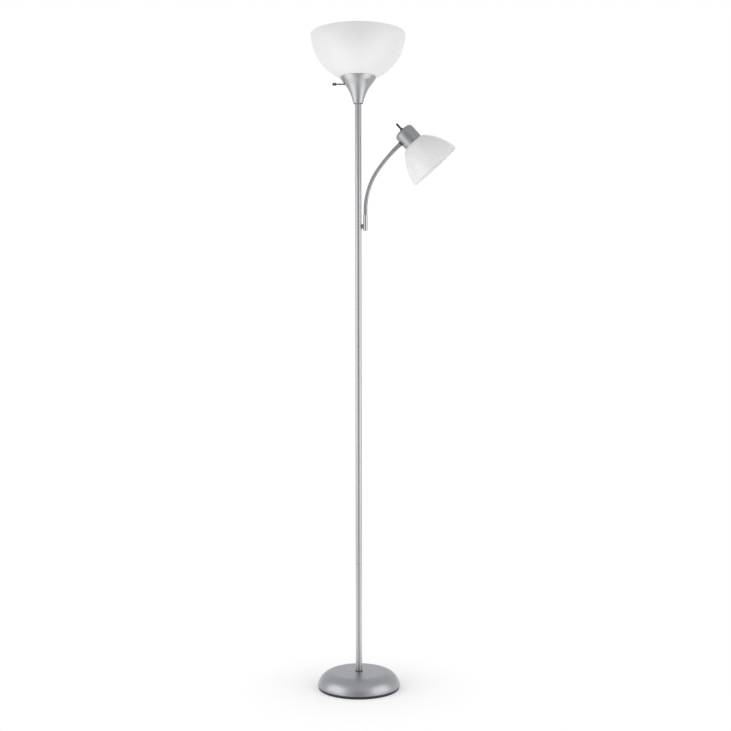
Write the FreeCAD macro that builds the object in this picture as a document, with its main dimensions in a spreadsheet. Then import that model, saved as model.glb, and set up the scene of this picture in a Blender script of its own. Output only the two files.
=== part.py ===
import FreeCAD, Part
import math
import os
import re
import Sketcher

# A floor lamp, in millimetres and degrees. +Z is up and the origin is on the floor, on the
# axis of the pole. The reading arm stands towards +X, and -Y is the front.

# Driving sizes. Every other size and place follows from these.
sizes = {
    # Base, from the floor up
    "pad_radius": 108.0,
    "pad_thickness": 1.5,
    "pad_side_gap": 0.5,
    "pan_above_floor": 0.3,
    "pan_foot_radius": 113.0,
    "pan_rim_radius": 114.0,
    "pan_height": 6.6,
    "pan_floor": 2.0,
    "pan_hole_radius": 16.0,
    "pan_lip_height": 3.6,
    "pan_lip_wall": 1.5,
    "pan_lip_gap": 0.6,
    "cover_wall": 1.0,
    "cover_height": 38.1,
    "cover_crown_radius": 32.0,
    "cover_crown_fall": 0.7,
    "cover_shoulder_start": 71.3,
    "cover_shoulder_radius": 44.5,
    "cover_hem_width": 3.6,
    "weight_radius": 98.0,
    "weight_edge_height": 17.0,
    "weight_top_radius": 80.0,
    "weight_top_height": 31.0,
    "weight_boss_radius": 30.0,
    "recess_radius": 15.0,
    "recess_depth": 18.5,
    "channel_width": 14.0,
    "channel_height": 12.0,
    "channel_run_out": 2.0,
    "gasket_radius": 10.5,
    "gasket_thickness": 1.2,
    "inlet_height": 17.5,
    "inlet_bore_radius": 3.5,
    "inlet_wall": 2.0,
    "inlet_length": 13.0,
    "inlet_flange": 1.5,
    "inlet_clearance": 0.06,
    # Threaded tubes, nuts and washer
    "thread_radius": 4.95,
    "thread_clearance": 0.05,
    "nipple_bore_radius": 3.9,
    "nipple_stand_out": 2.0,
    "nipple_end_gap": 0.05,
    "hole_clearance": 0.6,
    "edge_break": 0.4,
    "washer_radius": 13.0,
    "washer_thickness": 1.5,
    "nut_flats": 17.0,
    "nut_thickness": 6.0,
    # Pole
    "pole_radius": 8.75,
    "pole_wall": 0.8,
    "pole_edge_break": 0.4,
    "pole_lower_length": 299.0,
    "pole_middle_length": 610.6,
    "pole_upper_length": 679.4,
    "insert_length": 14.0,
    "coupler_length": 44.0,
    "push_fit_clearance": 0.05,
    # Leads
    "lead_radius": 1.5,
    "lead_offset": 1.75,
    "lead_rise": 4.5,
    "lead_bend": 6.0,
    "splice_radius": 3.2,
    "splice_length": 16.0,
    "splice_offset": 3.4,
    "splice_gap": 0.3,
    "splice_from_axis": 46.0,
    # Arm bracket
    "arm_height": 1292.0,
    "arm_offset": 20.0,
    "saddle_radius": 6.9,
    "saddle_reach": 10.6,
    "stud_radius": 3.9,
    "stud_bore_radius": 3.0,
    "stud_clearance": 0.06,
    "stud_head_radius": 4.8,
    "stud_head_thickness": 1.3,
    "elbow_radius": 6.4,
    "elbow_bore_radius": 4.6,
    "elbow_above": 9.0,
    "elbow_below": 8.7,
    "end_cap_height": 3.9,
    "end_cap_spigot": 2.7,
    "sleeve_radius": 6.3,
    "sleeve_length": 22.4,
    "sleeve_floor": 2.0,
    # Bending neck
    "neck_radius": 5.25,
    "neck_bore_radius": 2.9,
    "neck_gap": 0.3,
    "neck_straight": 13.4,
    "neck_bend_low": 200.0,
    "neck_angle_low": 34.0,
    "neck_bend_high": 411.3,
    "neck_angle_high": 13.8,
    "neck_tip_length": 14.0,
    "neck_tip_radius": 6.2,
    "neck_thread_radius": 4.1,
    "neck_thread_length": 6.0,
    "collar_radius": 6.9,
    "collar_thickness": 2.8,
    "inner_nut_flats": 12.0,
    "inner_nut_thickness": 2.6,
    "inner_nut_sink": 1.1,
    # Reading cup
    "cup_radius": 28.6,
    "cup_wall": 0.9,
    "cup_side": 37.0,
    "cup_edge_radius": 11.0,
    "cup_shoulder_radius": 20.5,
    "cup_shoulder_depth": 46.9,
    "cup_crown_radius": 90.0,
    "cup_depth": 48.7,
    "cup_neck_entry": 22.0,
    "cup_neck_clearance": 0.3,
    "cup_shade_inset": 4.0,
    # Lamp holders
    "holder_neck_radius": 17.8,
    "holder_neck_height": 23.0,
    "holder_bore_radius": 14.4,
    "holder_floor": 1.0,
    "holder_shoulder_radius": 20.8,
    "holder_shoulder": 3.0,
    "holder_body_radius": 17.0,
    "holder_body_depth": 34.0,
    "holder_cap_depth": 44.0,
    "holder_boss_radius": 8.0,
    "holder_snout_radius": 3.6,
    "holder_boss_height": 4.0,
    "holder_cone_height": 6.0,
    "holder_back_taper": 2.0,
    "holder_boss_gap": 0.5,
    "screw_shell_radius": 14.3,
    "screw_shell_wall": 0.6,
    "contact_radius": 5.0,
    "contact_thickness": 0.6,
    "shade_ring_radius": 21.2,
    "shade_ring_height": 6.0,
    # Switches
    "stem_radius": 2.1,
    "stem_clearance": 0.06,
    "main_stem_drop": 10.5,
    "main_stem_reach": 61.6,
    "main_stem_root": 8.0,
    "flare_stem_gap": 0.8,
    "knob_radius": 4.0,
    "knob_length": 10.2,
    "knob_socket": 4.6,
    "knob_end_chamfer": 0.8,
    "knob_groove_start": 3.9,
    "knob_groove_bevel": 0.6,
    "knob_groove_floor": 0.8,
    "knob_groove_depth": 0.8,
    "knob_flutes": 12,
    "knob_flute_radius": 0.45,
    "collar_nut_flats": 9.6,
    "collar_nut_thickness": 3.0,
    "reading_stem_reach": 22.7,
    "reading_stem_root": 20.0,
    "reading_rod_radius": 2.85,
    "reading_rod_round": 1.3,
    "reading_rod_gap": 0.3,
    # Flare cup under the main shade
    "flare_lip": 1.2,
    "flare_plate": 1.2,
    "flare_wall": 0.9,
    "flare_foot_radius": 13.9,
    "flare_curve": 123.8,
    "flare_waist_radius": 41.0,
    "flare_waist_height": 57.2,
    "flare_brim_curve": 60.5,
    "flare_rim_radius": 50.2,
    "flare_height": 71.8,
    "main_seat_rise": 63.6,
    # Shades
    "shade_clearance": 0.5,
    "main_shade_wall": 2.2,
    "main_shade_sphere": 132.4,
    "main_shade_foot_radius": 24.0,
    "main_shade_foot_height": 1.2,
    "main_shade_height": 129.0,
    "reading_shade_wall": 2.0,
    "reading_shade_neck": 26.4,
    "reading_shade_taper": 1.0,
    "reading_shade_step_radius": 31.0,
    "reading_shade_step_rise": 0.3,
    "reading_shade_corner_inset": 1.4,
    "reading_shade_shoulder_radius": 38.5,
    "reading_shade_shoulder_height": 6.0,
    "reading_shade_curve": 152.6,
    "reading_shade_rim_radius": 77.6,
    "reading_shade_height": 90.0,
    # Bulbs
    "bulb_seat": 1.9,
    "bulb_cap_radius": 13.3,
    "bulb_cap_height": 25.0,
    "bulb_cap_wall": 0.7,
    "bulb_glass_wall": 1.0,
    "bulb_neck_radius": 13.6,
    "main_bulb_radius": 30.0,
    "main_bulb_length": 104.0,
    "reading_bulb_radius": 23.5,
    "reading_bulb_length": 86.0,
}

# Places that follow from the driving sizes.
places = {
    # Base stack
    "cover_foot": "pad_thickness + pan_height",
    "base_top": "cover_foot + cover_height",
    "cover_shoulder_top": "cover_height - cover_crown_fall",
    "cover_shoulder_centre": "cover_shoulder_top - cover_shoulder_radius",
    "cover_foot_radius": "cover_shoulder_start + sqrt(cover_shoulder_radius^2 - cover_shoulder_centre^2)",
    "cover_inner_curve": "cover_shoulder_radius - cover_wall",
    "cover_hem_drop": "cover_wall - cover_shoulder_centre",
    "cover_hem_outer": "cover_shoulder_start + sqrt(cover_inner_curve^2 - cover_hem_drop^2)",
    "cover_hem_inner": "cover_foot_radius - cover_hem_width",
    "pan_lip_radius": "cover_hem_inner - pan_lip_gap",
    "weight_foot": "pad_thickness + pan_floor",
    "weight_boss_height": "base_top - cover_wall - weight_foot",
    "recess_ceiling": "weight_foot + recess_depth",
    "washer_foot": "recess_ceiling - washer_thickness",
    "base_nut_foot": "washer_foot - nut_thickness",
    "nipple_foot": "base_nut_foot - nipple_stand_out",
    "pole_foot": "base_top + gasket_thickness",
    "nipple_top": "pole_foot + insert_length - nipple_stand_out",
    "thread_hole": "thread_radius + thread_clearance",
    "clear_hole": "thread_radius + hole_clearance",
    "inlet_radius": "inlet_bore_radius + inlet_wall",
    "inlet_face": "cover_foot_radius + inlet_flange",
    # Pole joints
    "pole_inner_radius": "pole_radius - pole_wall",
    "insert_radius": "pole_inner_radius - push_fit_clearance",
    "joint_low": "pole_foot + pole_lower_length",
    "joint_high": "joint_low + pole_middle_length",
    "pole_top": "joint_high + pole_upper_length",
    # Leads in the base
    "lead_level": "weight_foot + lead_rise",
    "splice_level": "weight_foot + splice_radius + splice_gap",
    # Arm bracket
    "stud_head_inner": "sqrt(pole_inner_radius^2 - stud_head_radius^2) - stud_head_thickness",
    "stud_tip": "arm_offset - elbow_bore_radius",
    "lock_nut_reach": "arm_offset - elbow_radius",
    "sleeve_foot": "arm_height + elbow_above",
    "neck_foot": "sleeve_foot + sleeve_length",
    "neck_stub_foot": "sleeve_foot + sleeve_floor",
    # Neck and reading head
    "head_tilt": "neck_angle_low + neck_angle_high",
    "neck_low_length": "neck_bend_low * neck_angle_low * pi / 180",
    "neck_high_length": "neck_bend_high * neck_angle_high * pi / 180",
    "neck_length": "neck_low_length + neck_high_length",
    "mouth_x": "neck_end_x + cup_radius * sin(head_tilt) + cup_neck_entry * cos(head_tilt)",
    "mouth_z": "neck_end_z + cup_radius * cos(head_tilt) - cup_neck_entry * sin(head_tilt)",
    "link_seat": "neck_radius + neck_gap",
    "link_dome_height": "sqrt(neck_radius^2 - neck_bore_radius^2)",
    "link_seat_inner": "sqrt(link_seat^2 - neck_bore_radius^2)",
    "link_seat_outer": "sqrt(link_seat^2 - neck_radius^2)",
    "neck_thread_hole": "neck_thread_radius + thread_clearance",
    # Lamp holders
    "main_seat": "pole_top + main_seat_rise",
    "main_holder_foot": "main_seat - holder_cap_depth",
    "top_nipple_foot": "pole_top - insert_length + nipple_stand_out",
    "top_nipple_top": "main_holder_foot + holder_cap_depth - holder_body_depth - nipple_end_gap",
    "main_stem_height": "main_seat - main_stem_drop",
    "reading_rear": "cup_depth - cup_shade_inset",
    "reading_rear_inside": "reading_rear - cup_wall",
    "snout_end": "reading_rear + collar_nut_thickness + edge_break",
    "stem_hole": "stem_radius + stem_clearance",
    "shade_hole": "holder_neck_radius + shade_clearance",
    "shade_ring_bore": "holder_neck_radius + thread_clearance",
    "contact_top": "holder_floor + contact_thickness",
    # Shades
    "main_sphere_centre": "main_shade_foot_height + sqrt(main_shade_sphere^2 - main_shade_foot_radius^2)",
    "main_sphere_inner": "main_shade_sphere - main_shade_wall",
    "main_rim_drop": "main_shade_height - main_sphere_centre",
    "main_rim_radius": "sqrt(main_shade_sphere^2 - main_rim_drop^2)",
    "main_rim_inner": "sqrt(main_sphere_inner^2 - main_rim_drop^2)",
    "main_foot_inner_drop": "main_shade_wall + main_shade_foot_height - main_sphere_centre",
    "main_foot_inner": "sqrt(main_sphere_inner^2 - main_foot_inner_drop^2)",
    "reading_rim_height": "cup_shade_inset + reading_shade_height",
    "reading_shoulder_height": "cup_shade_inset + reading_shade_shoulder_height",
}


# The bending neck: a row of links, each with a round seat that turns on the dome of the link
# below. Its middle follows two arcs, the low one upright at the first hinge.

links = 8


def neck_turns(along):
    """How far the low and the high arc have turned the neck, that far past its first hinge."""
    return ("(min(%s; neck_low_length) / neck_bend_low * 180 / pi)" % along,
            "(neck_angle_low + max(%s - neck_low_length; 0) / neck_bend_high * 180 / pi)" % along)


def neck_across(along):
    """How far from the pole's axis the middle of the neck is there."""
    return ("arm_offset + neck_bend_low * (1 - cos(%s))"
            " + neck_bend_high * (cos(neck_angle_low) - cos(%s))" % neck_turns(along))


def neck_up(along):
    """How high the middle of the neck is there."""
    return ("neck_foot + neck_straight + neck_bend_low * sin(%s)"
            " + neck_bend_high * (sin(%s) - sin(neck_angle_low))" % neck_turns(along))


places["neck_end_x"] = neck_across("neck_length")
places["neck_end_z"] = neck_up("neck_length")
for hinge in range(1, links):
    along = "(neck_length - neck_tip_length) * %d / %d" % (hinge - 1, links - 1)
    places["hinge_%d_x" % hinge] = neck_across(along)
    places["hinge_%d_z" % hinge] = neck_up(along)
places["hinge_%d_x" % links] = "neck_end_x - neck_tip_length * sin(head_tilt)"
places["hinge_%d_z" % links] = "neck_end_z - neck_tip_length * cos(head_tilt)"

document = FreeCAD.newDocument("floor_lamp")
pieces = {}


def fill_sheet(name, cells):
    sheet = document.addObject("Spreadsheet::Sheet", name)
    for row, (alias, text) in enumerate(cells.items(), start=1):
        sheet.set("A%d" % row, alias)
        sheet.set("B%d" % row, text)
        sheet.setAlias("B%d" % row, alias)
    return sheet


def bound(text, own=""):
    """The expression in text, with the sheet's name before each size and place."""
    def with_sheet(match):
        word = match.group()
        sheet = "Sizes" if word in sizes else "Places" if word in places else own
        return word if sheet == own else sheet + "." + word
    return re.sub(r"[a-z_]\w*", with_sheet, str(text))


fill_sheet("Sizes", {alias: str(number) for alias, number in sizes.items()})
place_sheet = fill_sheet("Places", {alias: "=" + bound(text, "Places") for alias, text in places.items()})
document.recompute()


def value(text):
    return float(place_sheet.evalExpression(bound(text)))


# Sketches

def origin_plane(body, role):
    return [item for item in body.Origin.OriginFeatures if item.Role == role][0]


def new_sketch(body, name, plane):
    sketch = body.newObject("Sketcher::SketchObject", name)
    sketch.AttachmentSupport = [(origin_plane(body, plane), "")]
    sketch.MapMode = "FlatFace"
    return sketch


def hold(sketch, kind, where, text):
    """One distance or radius of the sketch, bound to the expression in text."""
    index = sketch.addConstraint(Sketcher.Constraint(kind, *where, value(text)))
    sketch.setExpression("Constraints[%d]" % index, bound(text))


def hold_point(sketch, edge, end, across, up):
    if str(across) == "0":
        sketch.addConstraint(Sketcher.Constraint("PointOnObject", edge, end, -2))
    else:
        hold(sketch, "DistanceX", (-1, 1, edge, end), across)
    if str(up) == "0":
        sketch.addConstraint(Sketcher.Constraint("PointOnObject", edge, end, -1))
    else:
        hold(sketch, "DistanceY", (-1, 1, edge, end), up)


def arc_between(start, end, radius, side):
    """The short arc from start to end; side is 1 with its centre on the left, -1 on the right."""
    chord = end - start
    middle = (start + end) * 0.5
    rise = math.sqrt(radius ** 2 - (chord.Length / 2) ** 2)
    left = FreeCAD.Vector(-chord.y, chord.x, 0).normalize()
    centre = middle + left * (rise * side)
    first, last = (start, end) if side > 0 else (end, start)
    first_angle = math.atan2(first.y - centre.y, first.x - centre.x)
    last_angle = math.atan2(last.y - centre.y, last.x - centre.x)
    if last_angle < first_angle:
        last_angle += 2 * math.pi
    circle = Part.Circle(centre, FreeCAD.Vector(0, 0, 1), radius)
    return Part.ArcOfCircle(circle, first_angle, last_angle)


def draw_outline(sketch, corners):
    """A closed outline. A corner is (across, up), or (across, up, radius, side) where an arc
    reaches it from the corner before."""
    points = [FreeCAD.Vector(value(corner[0]), value(corner[1]), 0) for corner in corners]
    ends = []
    for index, corner in enumerate(corners):
        start, end = points[index - 1], points[index]
        if len(corner) == 2:
            edge = sketch.addGeometry(Part.LineSegment(start, end), False)
            ends.append((edge, 1, 2))
        else:
            side = corner[3]
            edge = sketch.addGeometry(arc_between(start, end, value(corner[2]), side), False)
            ends.append((edge, 1, 2) if side > 0 else (edge, 2, 1))
    for index, corner in enumerate(corners):
        edge, start, end = ends[index]
        following, next_start, next_end = ends[(index + 1) % len(ends)]
        sketch.addConstraint(Sketcher.Constraint("Coincident", edge, end, following, next_start))
        hold_point(sketch, edge, end, corner[0], corner[1])
        if len(corner) == 4:
            hold(sketch, "Radius", (edge,), corner[2])


# Ways to make a piece

def turned_blank(name, corners):
    body = document.addObject("PartDesign::Body", name)
    sketch = new_sketch(body, name + "_outline", "XZ_Plane")
    draw_outline(sketch, corners)
    turning = body.newObject("PartDesign::Revolution", name + "_turning")
    turning.Profile = sketch
    turning.ReferenceAxis = (sketch, ["V_Axis"])
    turning.Angle = 360
    document.recompute()
    return body


def turned(name, corners, **where):
    return keep(name, turned_blank(name, corners), **where)


def keep(name, piece, across=0, up=0, tilt=None):
    """Names a finished piece and puts it in the lamp: its own origin at (across, 0, up) and
    its own +Z tilted that many degrees from upright towards +X."""
    piece.Label = name
    if tilt is not None:
        piece.Placement = FreeCAD.Placement(
            FreeCAD.Vector(0, 0, 0), FreeCAD.Rotation(FreeCAD.Vector(0, 1, 0), value(tilt)))
        piece.setExpression("Placement.Rotation.Angle", bound(tilt))
    piece.setExpression("Placement.Base.x", bound(across))
    piece.setExpression("Placement.Base.z", bound(up))
    pieces[name] = piece
    return piece


def cut(body, name, sketch, depth, forward=False):
    """Cuts the sketch through the body: towards -X from its YZ plane or +Y from its XZ plane,
    and the other way if forward."""
    before = body.Shape.Volume
    pocket = body.newObject("PartDesign::Pocket", name)
    pocket.Profile = sketch
    pocket.Type = "Length"
    pocket.Reversed = forward
    pocket.setExpression("Length", bound(depth))
    document.recompute()
    if not body.Shape.Volume < before:
        raise ValueError(name + " removes nothing")


def drill(body, name, plane, up, radius, depth, forward=False):
    sketch = new_sketch(body, name + "_circle", plane)
    centre = FreeCAD.Vector(0, value(up), 0)
    edge = sketch.addGeometry(Part.Circle(centre, FreeCAD.Vector(0, 0, 1), value(radius)), False)
    hold_point(sketch, edge, 3, "0", up)
    hold(sketch, "Radius", (edge,), radius)
    cut(body, name, sketch, depth, forward)


def hex_nut(name, flats, thickness, bore, **where):
    """A six-sided nut with both faces chamfered."""
    corner = "(%s) / 2 / cos(30)" % flats
    chamfered = turned_blank(name + "_turned", [
        (bore, "0"),
        ("(%s) / 2" % flats, "0"),
        (corner, "(%s) - (%s) / 2" % (corner, flats)),
        (corner, "(%s) - (%s) + (%s) / 2" % (thickness, corner, flats)),
        ("(%s) / 2" % flats, thickness),
        (bore, thickness),
    ])
    prism = document.addObject("Part::Prism", name + "_prism")
    prism.Polygon = 6
    prism.setExpression("Circumradius", bound(corner))
    prism.setExpression("Height", bound(thickness))
    nut = document.addObject("Part::Common", name)
    nut.Base = prism
    nut.Tool = chamfered
    return keep(name, nut, **where)


def lead(name, path):
    """A round lead swept along a wire."""
    start = path.Edges[0]
    tangent = start.tangentAt(start.FirstParameter)
    first = start.valueAt(start.FirstParameter)
    section = Part.Wire(Part.makeCircle(value("lead_radius"), first, tangent))
    piece = document.addObject("Part::Feature", name)
    piece.Shape = path.makePipeShell([section], True, True)
    piece.Label = name
    pieces[name] = piece
    return piece


def rounded_route(points, radius):
    """A wire through the points, with each corner rounded to the radius."""
    edges = []
    last = points[0]
    for before, corner, after in zip(points, points[1:], points[2:]):
        back = (before - corner).normalize()
        ahead = (after - corner).normalize()
        half_turn = (math.pi - back.getAngle(ahead)) / 2
        setback = radius * math.tan(half_turn)
        bisector = (back + ahead).normalize()
        middle = corner + bisector * (radius / math.cos(half_turn) - radius)
        start = corner + back * setback
        end = corner + ahead * setback
        edges.append(Part.LineSegment(last, start).toShape())
        edges.append(Part.Arc(start, middle, end).toShape())
        last = end
    edges.append(Part.LineSegment(last, points[-1]).toShape())
    return Part.Wire(edges)


# The base

def base_pieces():
    turned("base_pad", [
        ("0", "0"), ("pad_radius", "0"), ("pad_radius", "pad_thickness"), ("0", "pad_thickness"),
    ])
    turned("base_pan", [
        ("pan_hole_radius", "0"),
        ("pad_radius + pad_side_gap", "0"),
        ("pad_radius + pad_side_gap", "pan_above_floor - pad_thickness"),
        ("pan_foot_radius", "pan_above_floor - pad_thickness"),
        ("pan_rim_radius", "pan_height"),
        ("pan_lip_radius", "pan_height"),
        ("pan_lip_radius", "pan_height + pan_lip_height"),
        ("pan_lip_radius - pan_lip_wall", "pan_height + pan_lip_height"),
        ("pan_lip_radius - pan_lip_wall", "pan_floor"),
        ("pan_hole_radius", "pan_floor"),
    ], up="pad_thickness")
    cover = turned("base_cover", [
        ("clear_hole", "cover_height"),
        ("clear_hole", "cover_height - cover_wall"),
        ("cover_crown_radius", "cover_height - cover_wall"),
        ("cover_shoulder_start", "cover_shoulder_top - cover_wall"),
        ("cover_hem_outer", "cover_wall", "cover_inner_curve", -1),
        ("cover_hem_inner", "cover_wall"),
        ("cover_hem_inner", "0"),
        ("cover_foot_radius", "0"),
        ("cover_shoulder_start", "cover_shoulder_top", "cover_shoulder_radius", 1),
        ("cover_crown_radius", "cover_height"),
    ], up="cover_foot")
    drill(cover, "cover_inlet_hole", "XZ_Plane", "inlet_height - cover_foot",
          "inlet_radius + inlet_clearance", "cover_foot_radius + inlet_flange")
    weight = turned("base_weight", [
        ("recess_radius", "0"),
        ("weight_radius", "0"),
        ("weight_radius", "weight_edge_height"),
        ("weight_top_radius", "weight_top_height"),
        ("weight_boss_radius", "weight_top_height"),
        ("weight_boss_radius", "weight_boss_height"),
        ("clear_hole", "weight_boss_height"),
        ("clear_hole", "recess_depth"),
        ("recess_radius", "recess_depth"),
    ], up="weight_foot")
    channel = new_sketch(weight, "channel_outline", "XZ_Plane")
    draw_outline(channel, [
        ("-channel_width / 2", "0"), ("channel_width / 2", "0"),
        ("channel_width / 2", "channel_height"), ("-channel_width / 2", "channel_height"),
    ])
    cut(weight, "lead_channel", channel, "weight_radius + channel_run_out")
    turned("base_gasket", [
        ("clear_hole", "0"), ("gasket_radius", "0"),
        ("gasket_radius", "gasket_thickness"), ("clear_hole", "gasket_thickness"),
    ], up="base_top")
    threaded_tube("base_nipple", "nipple_top - nipple_foot", "nipple_foot")
    turned("base_washer", [
        ("clear_hole", "0"), ("washer_radius", "0"),
        ("washer_radius", "washer_thickness"), ("clear_hole", "washer_thickness"),
    ], up="washer_foot")
    hex_nut("base_nut", "nut_flats", "nut_thickness", "thread_hole", up="base_nut_foot")


def cord_bushing():
    """The inlet at the back of the base: a bush through the cover, its flange outside."""
    bush = turned_blank("bushing_blank", [
        ("inlet_bore_radius", "0"),
        ("inlet_radius", "0"),
        ("inlet_radius", "inlet_length"),
        ("inlet_radius + inlet_flange", "inlet_length"),
        ("inlet_radius + inlet_flange", "inlet_length + inlet_flange"),
        ("inlet_bore_radius", "inlet_length + inlet_flange"),
    ])
    bush.Label = "cord_bushing"
    bush.Placement = FreeCAD.Placement(
        FreeCAD.Vector(0, 0, 0), FreeCAD.Rotation(FreeCAD.Vector(1, 0, 0), -90))
    bush.setExpression("Placement.Base.y", bound("inlet_face - inlet_length - inlet_flange"))
    bush.setExpression("Placement.Base.z", bound("inlet_height"))
    pieces["cord_bushing"] = bush


def threaded_tube(name, length, foot):
    turned(name, [
        ("nipple_bore_radius", "0"),
        ("thread_radius - edge_break", "0"),
        ("thread_radius", "edge_break"),
        ("thread_radius", "%s - edge_break" % length),
        ("thread_radius - edge_break", length),
        ("nipple_bore_radius", length),
    ], up=foot)


# The pole

def pole_tube(name, length, foot):
    return turned(name, [
        ("pole_inner_radius", "0"),
        ("pole_radius - pole_edge_break", "0"),
        ("pole_radius", "pole_edge_break"),
        ("pole_radius", "%s - pole_edge_break" % length),
        ("pole_radius - pole_edge_break", length),
        ("pole_inner_radius", length),
    ], up=foot)


def pole_insert(name, bore, length, foot):
    turned(name, [
        (bore, "0"), ("insert_radius", "0"), ("insert_radius", length), (bore, length),
    ], up=foot)


def pole_pieces():
    pole_tube("pole_tube_lower", "pole_lower_length", "pole_foot")
    pole_tube("pole_tube_middle", "pole_middle_length", "joint_low")
    upper = pole_tube("pole_tube_upper", "pole_upper_length", "joint_high")
    drill(upper, "arm_hole", "YZ_Plane", "arm_height - joint_high",
          "stud_radius + stud_clearance", "arm_offset", forward=True)
    pole_insert("pole_foot_insert", "thread_hole", "insert_length", "pole_foot")
    pole_insert("pole_top_insert", "thread_hole", "insert_length", "pole_top - insert_length")
    for name, joint in (("pole_coupler_lower", "joint_low"), ("pole_coupler_upper", "joint_high")):
        pole_insert(name, "nipple_bore_radius", "coupler_length", "%s - coupler_length / 2" % joint)


# The leads inside

def lead_pieces():
    offset, front, level = value("lead_offset"), value("splice_from_axis"), value("lead_level")
    bend = value("lead_bend")
    lead("main_lead", rounded_route([
        FreeCAD.Vector(-offset, front, level),
        FreeCAD.Vector(-offset, 0, level),
        FreeCAD.Vector(-offset, 0, value("main_seat - holder_body_depth")),
    ], bend))
    arm, height = value("arm_offset"), value("arm_height")
    lead("reading_lead", rounded_route([
        FreeCAD.Vector(offset, front, level),
        FreeCAD.Vector(offset, 0, level),
        FreeCAD.Vector(offset, 0, height),
        FreeCAD.Vector(arm, 0, height),
        FreeCAD.Vector(arm, 0, value("neck_foot + neck_straight")),
    ], bend))
    half_low, half_high = "neck_low_length / 2", "(neck_low_length + neck_high_length / 2)"
    first, second, third, fourth, last = (
        FreeCAD.Vector(value(neck_across(along)), 0, value(neck_up(along)))
        for along in ("0", half_low, "neck_low_length", half_high, "neck_length"))
    reach = "(cup_radius - holder_body_radius)"
    inner = last + FreeCAD.Vector(
        value(reach + " * sin(head_tilt)"), 0, value(reach + " * cos(head_tilt)"))
    lead("neck_lead", Part.Wire([
        Part.Arc(first, second, third).toShape(),
        Part.Arc(third, fourth, last).toShape(),
        Part.LineSegment(last, inner).toShape(),
    ]))
    caps = document.addObject("Part::MultiFuse", "splice_caps")
    caps.Shapes = [splice_cap("splice_cap_left", "-splice_offset"),
                   splice_cap("splice_cap_right", "splice_offset")]
    caps.Label = "splice_caps"
    pieces["splice_caps"] = caps


def splice_cap(name, across):
    cap = document.addObject("Part::Cylinder", name)
    cap.setExpression("Radius", bound("splice_radius"))
    cap.setExpression("Height", bound("splice_length"))
    cap.Placement = FreeCAD.Placement(
        FreeCAD.Vector(0, 0, 0), FreeCAD.Rotation(FreeCAD.Vector(1, 0, 0), -90))
    cap.setExpression("Placement.Base.x", bound(across))
    cap.setExpression("Placement.Base.y", bound("splice_from_axis"))
    cap.setExpression("Placement.Base.z", bound("splice_level"))
    return cap


# The arm bracket

def arm_pieces():
    blank = turned_blank("saddle_blank", [
        ("stud_radius + stud_clearance", "0"),
        ("saddle_radius", "0"),
        ("saddle_radius", "saddle_reach - edge_break"),
        ("saddle_radius - edge_break", "saddle_reach"),
        ("stud_radius + stud_clearance", "saddle_reach"),
    ])
    pole = document.addObject("Part::Cylinder", "saddle_pole")
    pole.setExpression("Radius", bound("pole_radius"))
    pole.setExpression("Height", bound("4 * saddle_radius"))
    pole.Placement = FreeCAD.Placement(
        FreeCAD.Vector(0, 0, 0), FreeCAD.Rotation(FreeCAD.Vector(0, 1, 0), -90))
    pole.setExpression("Placement.Base.x", bound("2 * saddle_radius"))
    saddle = document.addObject("Part::Cut", "arm_saddle")
    saddle.Base = blank
    saddle.Tool = pole
    keep("arm_saddle", saddle, up="arm_height", tilt="90")
    turned("arm_stud", [
        ("stud_bore_radius", "stud_head_inner"),
        ("stud_head_radius", "stud_head_inner"),
        ("stud_head_radius", "stud_head_inner + stud_head_thickness"),
        ("stud_radius", "stud_head_inner + stud_head_thickness"),
        ("stud_radius", "stud_tip"),
        ("stud_bore_radius", "stud_tip"),
    ], up="arm_height", tilt="90")
    turned("arm_lock_nut", [
        ("stud_radius + thread_clearance", "saddle_reach"),
        ("elbow_radius", "saddle_reach"),
        ("elbow_radius", "saddle_reach + (lock_nut_reach - saddle_reach) / 3"),
        ("stud_radius + thread_clearance + edge_break", "lock_nut_reach",
         "elbow_radius", 1),
        ("stud_radius + thread_clearance", "lock_nut_reach"),
    ], up="arm_height", tilt="90")
    elbow = turned("arm_elbow", [
        ("elbow_bore_radius", "-elbow_below"),
        ("elbow_radius", "-elbow_below"),
        ("elbow_radius", "elbow_above"),
        ("elbow_bore_radius", "elbow_above"),
    ], across="arm_offset", up="arm_height")
    drill(elbow, "elbow_stud_hole", "YZ_Plane", "0", "stud_radius + stud_clearance", "arm_offset")
    turned("arm_end_cap", [
        ("0", "-elbow_below - end_cap_height"),
        ("elbow_radius - end_cap_height", "-elbow_below - end_cap_height"),
        ("elbow_radius", "-elbow_below", "end_cap_height", 1),
        ("elbow_bore_radius - push_fit_clearance", "-elbow_below"),
        ("elbow_bore_radius - push_fit_clearance", "end_cap_spigot - elbow_below"),
        ("0", "end_cap_spigot - elbow_below"),
    ], across="arm_offset", up="arm_height")
    turned("arm_sleeve", [
        ("neck_bore_radius", "0"),
        ("sleeve_radius", "0"),
        ("sleeve_radius", "sleeve_length - edge_break"),
        ("sleeve_radius - edge_break", "sleeve_length"),
        ("neck_radius + push_fit_clearance", "sleeve_length"),
        ("neck_radius + push_fit_clearance", "sleeve_floor"),
        ("neck_bore_radius", "sleeve_floor"),
    ], across="arm_offset", up="sleeve_foot")


# The bending neck

def dome_end(length):
    """The corners of a link's domed end, whose centre is that far up."""
    return [
        ("neck_radius", length),
        ("neck_bore_radius", "%s + link_dome_height" % length, "neck_radius", 1),
    ]


seat_end = [
    ("neck_bore_radius", "link_seat_inner"),
    ("neck_radius", "link_seat_outer", "link_seat", -1),
]


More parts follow.
